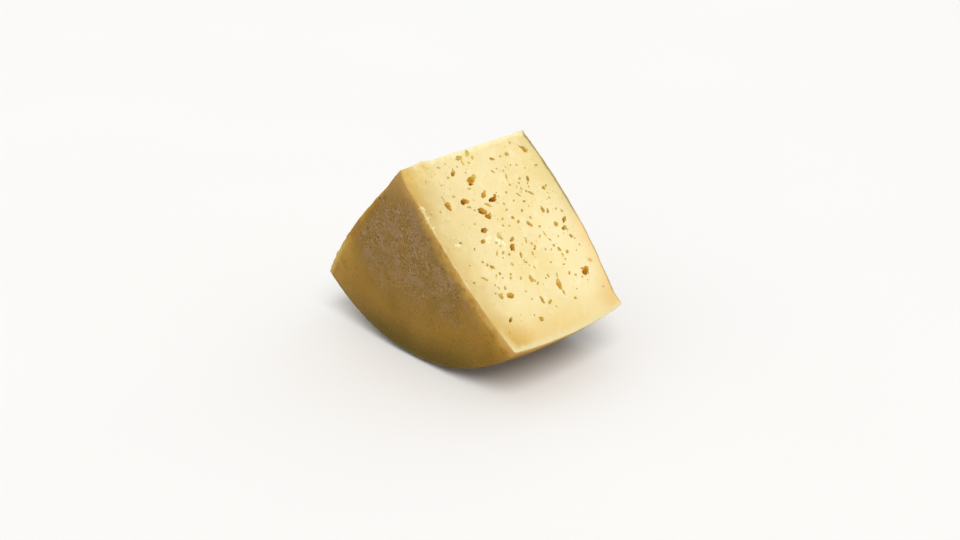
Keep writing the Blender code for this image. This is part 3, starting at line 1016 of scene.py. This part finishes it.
# %% The bloom
BLOOM_GREY = shown(136, 107, 58)
BLOOM_VIOLET = shown(146, 117, 83)
BLOOM_GREEN = shown(128, 107, 52)
BLOOM_SPECK = shown(182, 152, 108)
BLOOM_DUST = shown(96, 70, 30)
BLOOM_FLECK = shown(176, 152, 112)
BLOOM_RIM = 51.0  # how far from the rim the bloom ends, in mm
BLOOM_DRIFT = 30.0  # how far that border wanders
BLOOM_LEAN = 0.12  # how much nearer the rim the bloom reaches for each step to the right
SIDE_BAND = 56.0  # the curved side lies within this of the middle plane


def bloom_mask(where, place, under_side, under_cut, share):
    """1 where the bloom lies, with cloudy borders."""
    clouds = mottle(where, 22.0, 3.0, 0.6)
    inward = reckon("MAXIMUM", SIDE_BAND - reckon("ABSOLUTE", place["Y"]), 0.0)
    from_rim = under_side + place["X"] * BLOOM_LEAN + inward * 1.3 + clouds * BLOOM_DRIFT
    middle = BLOOM_RIM + BLOOM_DRIFT / 2
    high = step(from_rim, middle - 21.0, middle + 19.0)
    bare_width = step(place["Z"], 134.0, 108.0) * 6.0 + 5.0
    beside = step(under_cut - clouds * bare_width, -3.5, bare_width - 5.0)
    return high * (beside * step(share, 0.25, 1.1))


def bloom_colour(where, bare, bloom):
    """Lays the bloom over the bare skin: grey brown, violet or green in places, with grit."""
    clouds = mottle(where, 11.0, 2.5, 0.55, 0.4)
    drifts = mottle(where, 15.0, 2.5, 0.55, 0.5)
    worn = mottle(where, 6.0, 2.5, 0.55, 0.3)
    grit = mottle(where, 1.25, 2.0, 0.6)
    powder = mix(step(clouds, 0.44, 0.60), BLOOM_GREY, BLOOM_VIOLET)
    powder = mix(step(drifts, 0.52, 0.62) * 0.55, powder, BLOOM_GREEN)
    cover = 0.86 - step(worn, 0.48, 0.66) * 0.35
    colour = mix(bloom * cover, bare, powder)
    strength = (bloom * 0.34 + 0.13) * (step(mottle(where, 12.0), 0.34, 0.62) + 0.45)
    colour = mix(step(grit, 0.50, 0.74) * strength, colour, BLOOM_SPECK)
    colour = mix(step(grit, 0.50, 0.28) * strength, colour, BLOOM_DUST)
    flecks = step(mottle(where, 2.7, 1.5), 0.66, 0.76)
    return mix(flecks * bloom * 0.6, colour, BLOOM_FLECK)


print("the bloom ends about", BLOOM_RIM, "mm from the rim")

# %% [markdown]
# The group joins the skin and the bloom and adds what lies over both: a rubbed band along the right cut,
# which shows most because it meets the pale paste there, and dark pores. It also puts out the bloom, which
# makes the surface duller, and a height for the bumps.

# %% The skin as a node group
SKIN_BAND = shown(197, 157, 80)
BAND_RUST = shown(174, 125, 52)
PORE_BROWN = shown(74, 50, 18)


def cut_band(where, place, under_side, under_cut, patches):
    """1 at the right cut, where the rind is rubbed golden, fading over the next centimetre or so."""
    wander = (patches - 0.5) * 14.0 + (mottle(where, 2.8, 4.0, 0.7) - 0.5) * 10.0
    band = step(under_cut + wander, 13.0, 0.0) * step(place["X"], -2.0, 4.0)
    return band * (step(under_side, 20.0, 36.0) * 0.4 + 0.35)


def rind_skin_group():
    inputs = (("Where", "Vector"), ("Under Side", "Float"), ("Under Cut", "Float"))
    wanted = (("Colour", "Color"), ("Bloom", "Float"), ("Height", "Float"))
    group, given, results = new_group("rind_skin", inputs, wanted)
    where, under_side, under_cut = (given[label] for label, kind in inputs)
    place = split(where)
    patches = mottle(where, 10.0, 3.0, 0.55)
    share = share_of_band(place, under_cut, patches)
    bloom = bloom_mask(where, place, under_side, under_cut, share)
    colour = skin_colour(where, place, under_side, under_cut, patches, share)
    colour = bloom_colour(where, colour, bloom)
    blotches = step(mottle(where, 6.0, 3.0, 0.6), 0.48, 0.60)
    rubbed = mix(blotches * 0.65, SKIN_BAND, BAND_RUST)
    colour = mix(cut_band(where, place, under_side, under_cut, patches), colour, rubbed)
    pores = step(mottle(where, 2.4, 1.0), 0.67, 0.75)
    connect(results["Colour"], mix(pores * 0.48, colour, PORE_BROWN))
    connect(results["Bloom"], bloom)
    connect(results["Height"], mottle(where, 4.0, 3.0, 0.6) * 0.45 + mottle(where, 1.2) * 0.12)
    return group


rind_skin = rind_skin_group()
print("group", rind_skin.name, "has", len(rind_skin.nodes), "nodes")

# %% [markdown]
# ## The rind's material
#
# The material puts the skin and the torn edge together and gives them a dull, dry surface. The pits are
# darkened with the depth that was stored on the mesh. Near the tip the rind is painted lighter tan, which is
# painted light that lifts the shade of the shoved corner. Near the tip, and where the curved side meets the
# right cut, the rind is thin, and the paste shines through it.

# %% The rind's material
PIT_DARK = shown(62, 40, 22)
SOFT_TAN = shown(176, 139, 76)
SOFT_GOLD = shown(222, 183, 100)
THIN_RIND = shown(220, 186, 112)
TORN_RIND = shown(222, 192, 128)


def new_material(name):
    """A new material, its nodes, its shader, and the place on the object."""
    material = bpy.data.materials.new(name)
    material.use_nodes = True
    tree = material.node_tree
    shader = tree.nodes["Principled BSDF"].inputs
    return material, tree, shader, outputs(put(tree, "ShaderNodeTexCoord"))["Object"]


def stored(tree, *names):
    """The values of attributes of the mesh."""
    return [outputs(put(tree, "ShaderNodeAttribute", attribute_name=name))["Fac"] for name in names]


def rind_material():
    material, tree, shader, where = new_material("rind")
    under_side, under_cut, from_axis, hollow = stored(tree, "under_side", "under_cut", "from_axis", "hollow")
    skin = use_group(tree, rind_skin, {"Where": where, "Under Side": under_side, "Under Cut": under_cut})
    torn = use_group(tree, torn_edge, {"Where": where, "Distance": under_cut, "From Axis": from_axis})
    place = split(where)
    # the pits are darkened with their depth
    colour = mix(step(hollow, 0.15, 0.8), skin["Colour"], PIT_DARK)
    # painted light: the rind is lightened towards tan near the tip
    colour = mix(step(from_axis, 32.0, 6.0) * 0.75, colour, SOFT_TAN)
    near_tip = step(from_axis, 50.0, 30.0) * step(place["X"], -3.0, 4.0)
    colour = mix(step(under_cut, 4.4, 1.2) * near_tip, colour, SOFT_TAN)
    colour = mix(step(under_cut, 1.8, 0.2) * near_tip, colour, SOFT_GOLD)
    thin = step(under_cut, 2.2, 0.5) * step(place["X"], 30.0, 50.0) * step(place["Y"], -52.0, -46.0)
    colour = mix(thin * 0.8, colour, THIN_RIND)
    colour = mix(torn["Mask"] * 0.8, colour, TORN_RIND)
    bump = put(tree, "ShaderNodeBump", {"Height": skin["Height"], "Distance": 0.9 * MM, "Strength": 0.9})
    connect(shader["Base Color"], colour)
    connect(shader["Roughness"], skin["Bloom"] * 0.16 + 0.58)
    connect(shader["Normal"], outputs(bump)["Normal"])
    connect(shader["Specular IOR Level"], 0.10)
    return material


rind = rind_material()
print("material", rind.name, "has", len(rind.node_tree.nodes), "nodes")

# %% [markdown]
# ## The paste's material
#
# The paste is a pale cream yellow, faintly clouded. Towards the front it is painted greyer and towards the
# back milkier, which is painted shade and painted light across the cut. Near the rind it turns golden,
# because it has dried and ripened most there. How strongly it does so depends on the side: the front is
# darker than the back.

# %% The paste between its edges
CREAM = shown(237, 219, 164)
STRAW = shown(235, 214, 151)
MILK = shown(246, 231, 181)
# painted shade: the greyer cream of the front of the cut
SHADED_CREAM = shown(222, 203, 148)
RIPE_GOLD = shown(221, 184, 102)
EDGE_GOLD = shown(202, 171, 97)
CORNER_GOLD = shown(206, 165, 78)


def cream_colour(place, from_axis, clouds, curds):
    """The fresh paste, away from the rind."""
    colour = mix(step(clouds, 0.36, 0.64), CREAM, STRAW)
    colour = mix(step(curds, 0.50, 0.72) * 0.5, colour, MILK)
    # painted shade: the paste is greyed towards the front
    front_shade = step(place["Y"], -5.0, -45.0) * step(from_axis, 110.0, 40.0) * step(curds, 0.30, 0.60)
    colour = mix(front_shade * 0.65, colour, SHADED_CREAM)
    # painted light: the paste is milkier towards the back
    back_light = step(place["Y"], 8.0, 36.0) * step(from_axis, 48.0, 92.0)
    return mix(back_light * 0.55, colour, MILK)


def ripened_colour(where, under_side, under_flat, clouds, front, colour):
    """Turns the paste golden towards the flats, the curved side and the corners between them."""
    wander = (mottle(where, 18.0) - 0.5) * 26.0
    to_flat = step(under_flat + wander, 28.0, -8.0)
    colour = mix(to_flat * (front * 0.55 + 0.25), colour, EDGE_GOLD)
    to_side = step(under_side + (clouds - 0.5) * 24.0, 31.0, 6.0)
    colour = mix(to_side * (front * 0.28 + 0.3), colour, RIPE_GOLD)
    to_corner = step(under_side, 34.0, 8.0) * step(under_flat, 30.0, 2.0)
    return mix(to_corner * (front * 0.5 + 0.35), colour, CORNER_GOLD)


print("from cream to gold the green part falls from", round(CREAM[1], 2), "to", round(CORNER_GOLD[1], 2))

# %% [markdown]
# Each edge of the cut has a look of its own. Along the back the paste fades to a greyish olive line near
# the tip, and to peach further out. The front edge is matted and golden beside the tip. Just inside the
# curved side lies one more pale strip with a ragged border.

# %% The edges of the paste
EDGE_OLIVE = shown(128, 118, 68)
DULL_CREAM = shown(216, 200, 134)
PEACH = shown(240, 200, 126)
MATTED_GOLD = shown(226, 188, 92)
TIP_EDGE_GOLD = shown(190, 155, 82)
PALE_STRIP = shown(224, 212, 162)
STRIP_LIMIT = 7.8  # how far from the curved side the pale strip can reach, in mm
STRIP_FRAY = 8.0  # how much of that its ragged border takes away
STRIP_BLUR = 2.1


def back_edge(where, place, under_flat, colour):
    at_back = step(place["Y"], 0.0, 20.0)
    peach = step(place["Z"], 106.0, 92.0)
    colour = mix(step(under_flat, 12.0, 1.0) * at_back * 0.5, colour, mix(peach, DULL_CREAM, PEACH))
    thin = step(under_flat, 1.6, 0.6) * (at_back * 0.5)
    colour = mix(thin * peach, colour, EDGE_OLIVE)
    line = step(under_flat + mottle(where, 9.0) * 3.0, 4.6, 2.6) * at_back
    return mix(line * (1.0 - peach) * 0.8, colour, EDGE_OLIVE)


def front_edge(under_flat, from_axis, front, colour):
    at_tip = step(under_flat, 14.0, 1.0) * step(from_axis, 40.0, 12.0)
    colour = mix(at_tip * front * 0.5, colour, MATTED_GOLD)
    beside_tip = step(under_flat, 12.0, 2.5) * step(from_axis, 48.0, 28.0)
    return mix(beside_tip * front * 0.5, colour, TIP_EDGE_GOLD)


def pale_strip(where, place, depths, front, colour):
    """The strip inside the curved side. It runs a little way up the front edge too."""
    under_side, under_flat, from_axis = depths
    ragged = mottle(where, 5.0, 4.0, 0.7) * STRIP_FRAY + step(place["Y"], -5.0, 40.0)
    strip = step(under_side + ragged, STRIP_LIMIT + STRIP_BLUR, STRIP_LIMIT - STRIP_BLUR)
    colour = mix(strip * 0.85, colour, PALE_STRIP)
    up_front = step(under_flat + mottle(where, 4.0, 4.0, 0.7) * 8.0, 11.0, 6.0) * (front * 0.6)
    return mix(up_front * step(from_axis, 126.0, 139.0), colour, PALE_STRIP)


print("the pale strip is about", round(STRIP_LIMIT - STRIP_FRAY / 2, 1), "mm wide")

# %% [markdown]
# Three marks of the shown cut are listed by place: matted paste in the front corner of the tip, white crumbs
# where the knife tore the paste up, painted with highlights of the raised flakes, and one rusty spot. Each
# is a soft round spot, out from the axis and across from the middle, broken up by noise. The crest of the
# tip is torn white as well.

# %% Marks of the knife
MATTED_SPOTS = ((7, -46, 13), (6, -57, 9))  # out, across and how far the spot reaches, in mm
# painted highlights on flakes that the knife tore up
FLAKE_HIGHLIGHT_SPOTS = ((75, -17, 9), (69, -22, 7), (62.8, -51.5, 5.5))
RUSTY_SPOTS = ((111.8, 51.6, 2.6),)
CRUMB_WHITE_AND_HIGHLIGHT = shown(252, 243, 200)
SPOT_RUST = shown(228, 146, 30)


def near_spots(place, from_axis, spots):
    """1 at the nearest of some spots of the right cut, fading to 0 at its reach."""
    nearest = 0.0
    for spot_out, spot_across, reach in spots:
        out, across = from_axis - spot_out, place["Y"] - spot_across
        distance = reckon("SQRT", out * out + across * across)
        nearest = reckon("MAXIMUM", nearest, step(distance, reach, reach * 0.3))
    return nearest * step(place["X"], -2.0, 2.0)


def knife_marks(where, place, from_axis, curds, colour):
    matted = step(mottle(where, 3.4, 3.0, 0.6, 0.4), 0.46, 0.60)
    matted = matted * near_spots(place, from_axis, MATTED_SPOTS)
    colour = mix(matted * 0.8, colour, MATTED_GOLD)
    colour = mix(near_spots(place, from_axis, RUSTY_SPOTS) * 0.7, colour, SPOT_RUST)
    # painted highlights on the torn flakes
    torn = step(mottle(where, 3.0, 3.0, 0.65, 0.6), 0.50, 0.60)
    torn = torn * near_spots(place, from_axis, FLAKE_HIGHLIGHT_SPOTS)
    crest = step(from_axis + curds * 9.0, 9.0, 4.0) * step(place["Y"], -58.0, -42.0)
    torn = reckon("MAXIMUM", torn, crest * 0.7)
    return mix(torn * 0.9, colour, CRUMB_WHITE_AND_HIGHLIGHT)


print("marks listed by place:", len(MATTED_SPOTS + FLAKE_HIGHLIGHT_SPOTS + RUSTY_SPOTS))

# %% [markdown]
# The walls of the eyes are painted from straw to ochre and then to brown with depth, which is painted shade
# in the hollows and painted warm light that the paste lets through. Pinholes too small to cut are drawn as
# specks with a dip of their own. Light goes into the paste a little way, so it has some subsurface
# scattering. At its outer border it takes the colour of the skin, except on the back half, where the paste
# runs to the very edge.

# %% The colours of the paste together
OCHRE_SPECK_AND_WALL_SHADE = shown(202, 141, 4)
# the walls of the eyes, painted shade: the depths between which each colour comes in, in mm
PAINTED_WALL_SHADE = (
    (0.03, 0.45, shown(205, 179, 86)),
    (0.55, 1.5, OCHRE_SPECK_AND_WALL_SHADE),
    (1.2, 2.7, shown(144, 72, 0)),
    (2.6, 4.2, shown(96, 50, 0)),
)


def paste_colour(where, place, under_side, under_flat, from_axis):
    clouds = mottle(where, 34.0)
    curds = mottle(where, 6.5, 3.0, 0.6, 0.4)
    front = step(place["Y"], 40.0, -40.0)
    colour = cream_colour(place, from_axis, clouds, curds)
    colour = ripened_colour(where, under_side, under_flat, clouds, front, colour)
    colour = back_edge(where, place, under_flat, colour)
    colour = front_edge(under_flat, from_axis, front, colour)
    colour = knife_marks(where, place, from_axis, curds, colour)
    return pale_strip(where, place, (under_side, under_flat, from_axis), front, colour)


def shade_eye_walls(hollow, colour):
    """Paints shade: deepens the colour with the depth of the hollow."""
    for start, end, wall in PAINTED_WALL_SHADE:
        colour = mix(step(hollow, start, end), colour, wall)
    return colour


def skin_border(place, under_side, under_flat):
    """1 in the outermost half millimetre, apart from the back half."""
    at_side = step(under_side, 0.5, 0.2) * step(place["Y"], 12.0, -14.0)
    at_back_rim = step(place["Y"], 0.0, 20.0) * step(place["Z"], 106.0, 92.0)
    at_flat = step(under_flat, 0.9, 0.4) * (1.0 - at_back_rim)
    return reckon("MAXIMUM", at_side, at_flat)


print("an eye is darkest from", PAINTED_WALL_SHADE[-1][1], "mm down")

# %% The paste's material
TORN_PALE = shown(238, 220, 168)


def paste_material():
    material, tree, shader, where = new_material("paste")
    under_side, under_flat, under_cut = stored(tree, "under_side", "under_flat", "under_cut")
    from_axis, hollow = stored(tree, "from_axis", "hollow")
    skin = use_group(tree, rind_skin, {"Where": where, "Under Side": under_side, "Under Cut": under_cut})
    torn = use_group(tree, torn_edge, {"Where": where, "Distance": under_flat, "From Axis": from_axis})
    place = split(where)
    specks = step(mottle(where, 2.2, 1.5), 0.66, 0.78)
    colour = paste_colour(where, place, under_side, under_flat, from_axis)
    colour = mix(specks * (step(from_axis, 96.0, 116.0) * -0.4 + 0.5), colour, OCHRE_SPECK_AND_WALL_SHADE)
    # painted shade and warm light in the eyes, deeper with depth
    colour = shade_eye_walls(hollow, colour)
    colour = mix(skin_border(place, under_side, under_flat), colour, skin["Colour"])
    colour = mix(torn["Mask"] * 0.85, colour, TORN_PALE)
    height = mottle(where, 1.1, 2.0, 0.6) * 0.5 + mottle(where, 5.0) - specks
    bump = put(tree, "ShaderNodeBump", {"Height": height, "Distance": 0.25 * MM, "Strength": 0.7})
    connect(shader["Base Color"], colour)
    connect(shader["Roughness"], mottle(where, 9.0) * 0.2 + 0.38)
    connect(shader["Normal"], outputs(bump)["Normal"])
    connect(shader["Subsurface Weight"], 0.12)
    connect(shader["Subsurface Radius"], (1.0, 0.72, 0.35))
    connect(shader["Subsurface Scale"], 2.5 * MM)
    connect(shader["Specular IOR Level"], 0.22)
    return material


paste = paste_material()
carved.materials.append(paste)
carved.materials.append(rind)
print("material", paste.name, "has", len(paste.node_tree.nodes), "nodes")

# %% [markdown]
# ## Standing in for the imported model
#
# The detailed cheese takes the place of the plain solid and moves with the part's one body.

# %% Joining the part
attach(cheese, "root")
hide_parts("cheese_wedge")
print("the cheese stands in for cheese_wedge")

# %% [markdown]
# ## The studio
#
# The floor is plain and nearly white. One broad soft light comes from high on the right, a little in front
# of the cut, so that the cut is the brightest surface and the brown flat side gets about half as much. It
# is a sun with a wide angle, because that lights the whole floor evenly. A white surround fills the
# shadows.

# %% Floor and light
FLOOR_SIZE = 16.0
KEY_FROM = Vector((0.55, -0.40, 0.85))
KEY_ANGLE = math.radians(32)
KEY_STRENGTH = 1.75
SURROUND = 0.60
PAPER_SHADES = (shown(247, 246, 244), shown(250, 249, 247))


def make_floor():
    bm = bmesh.new()
    bmesh.ops.create_grid(bm, x_segments=1, y_segments=1, size=FLOOR_SIZE / 2)
    floor = mesh_object("floor", bm)
    material, tree, shader, where = new_material("floor_paper")
    connect(shader["Base Color"], mix(mottle(where, 300.0, 1.0), *PAPER_SHADES))
    connect(shader["Roughness"], 0.9)
    floor.data.materials.append(material)
    return floor


floor = make_floor()
floor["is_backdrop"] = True
key_data = bpy.data.lights.new("key", "SUN")
key_data.angle = KEY_ANGLE
key_data.energy = KEY_STRENGTH
key = add_object("key", key_data)
key.location = KEY_FROM
key.rotation_euler = KEY_FROM.to_track_quat("Z", "Y").to_euler()
surround = bpy.data.worlds.new("surround")
surround.use_nodes = True
background = surround.node_tree.nodes["Background"].inputs
connect(background["Color"], (1.0, 1.0, 1.0, 1.0))
connect(background["Strength"], SURROUND)
bpy.context.scene.world = surround
bpy.context.scene.view_settings.view_transform = "Standard"
print("one soft light,", round(math.degrees(KEY_ANGLE)), "degrees wide")

# %% [markdown]
# ## The camera
#
# The camera stands in front and to the right, looking down at about 25 degrees, as in the photograph. Its
# place was found by fitting the outline of the cheese.

# %% Camera
CAMERA_PLACE = Vector((0.6045, -0.5761, 0.4481))
CAMERA_PITCH = math.radians(25.18)
CAMERA_YAW = math.radians(45.64)
SENSOR_WIDTH = 36.0  # mm
FOCAL_LENGTH = 45.32  # mm
FARTHEST = 60.0
camera_data = bpy.data.cameras.new("camera")
camera_data.sensor_width = SENSOR_WIDTH
camera_data.lens = FOCAL_LENGTH
camera_data.clip_end = FARTHEST
camera = add_object("camera", camera_data)
camera.location = CAMERA_PLACE
camera.rotation_euler = (math.pi / 2 - CAMERA_PITCH, 0, CAMERA_YAW)
bpy.context.scene.camera = camera
print("camera", round(CAMERA_PLACE.length, 3), "m from the foot of the cheese")

# %% [markdown]
# ## The two boxes
#
# The box of the detailed cheese is written beside that of the imported model, so that the two can be
# compared.

shown_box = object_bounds()
boxes = {"cad": [list(corner) for corner in cad_box], "shown": [list(corner) for corner in shown_box]}
for name, box in boxes.items():
    print(name, [[round(value / MM, 2) for value in corner] for corner in box])
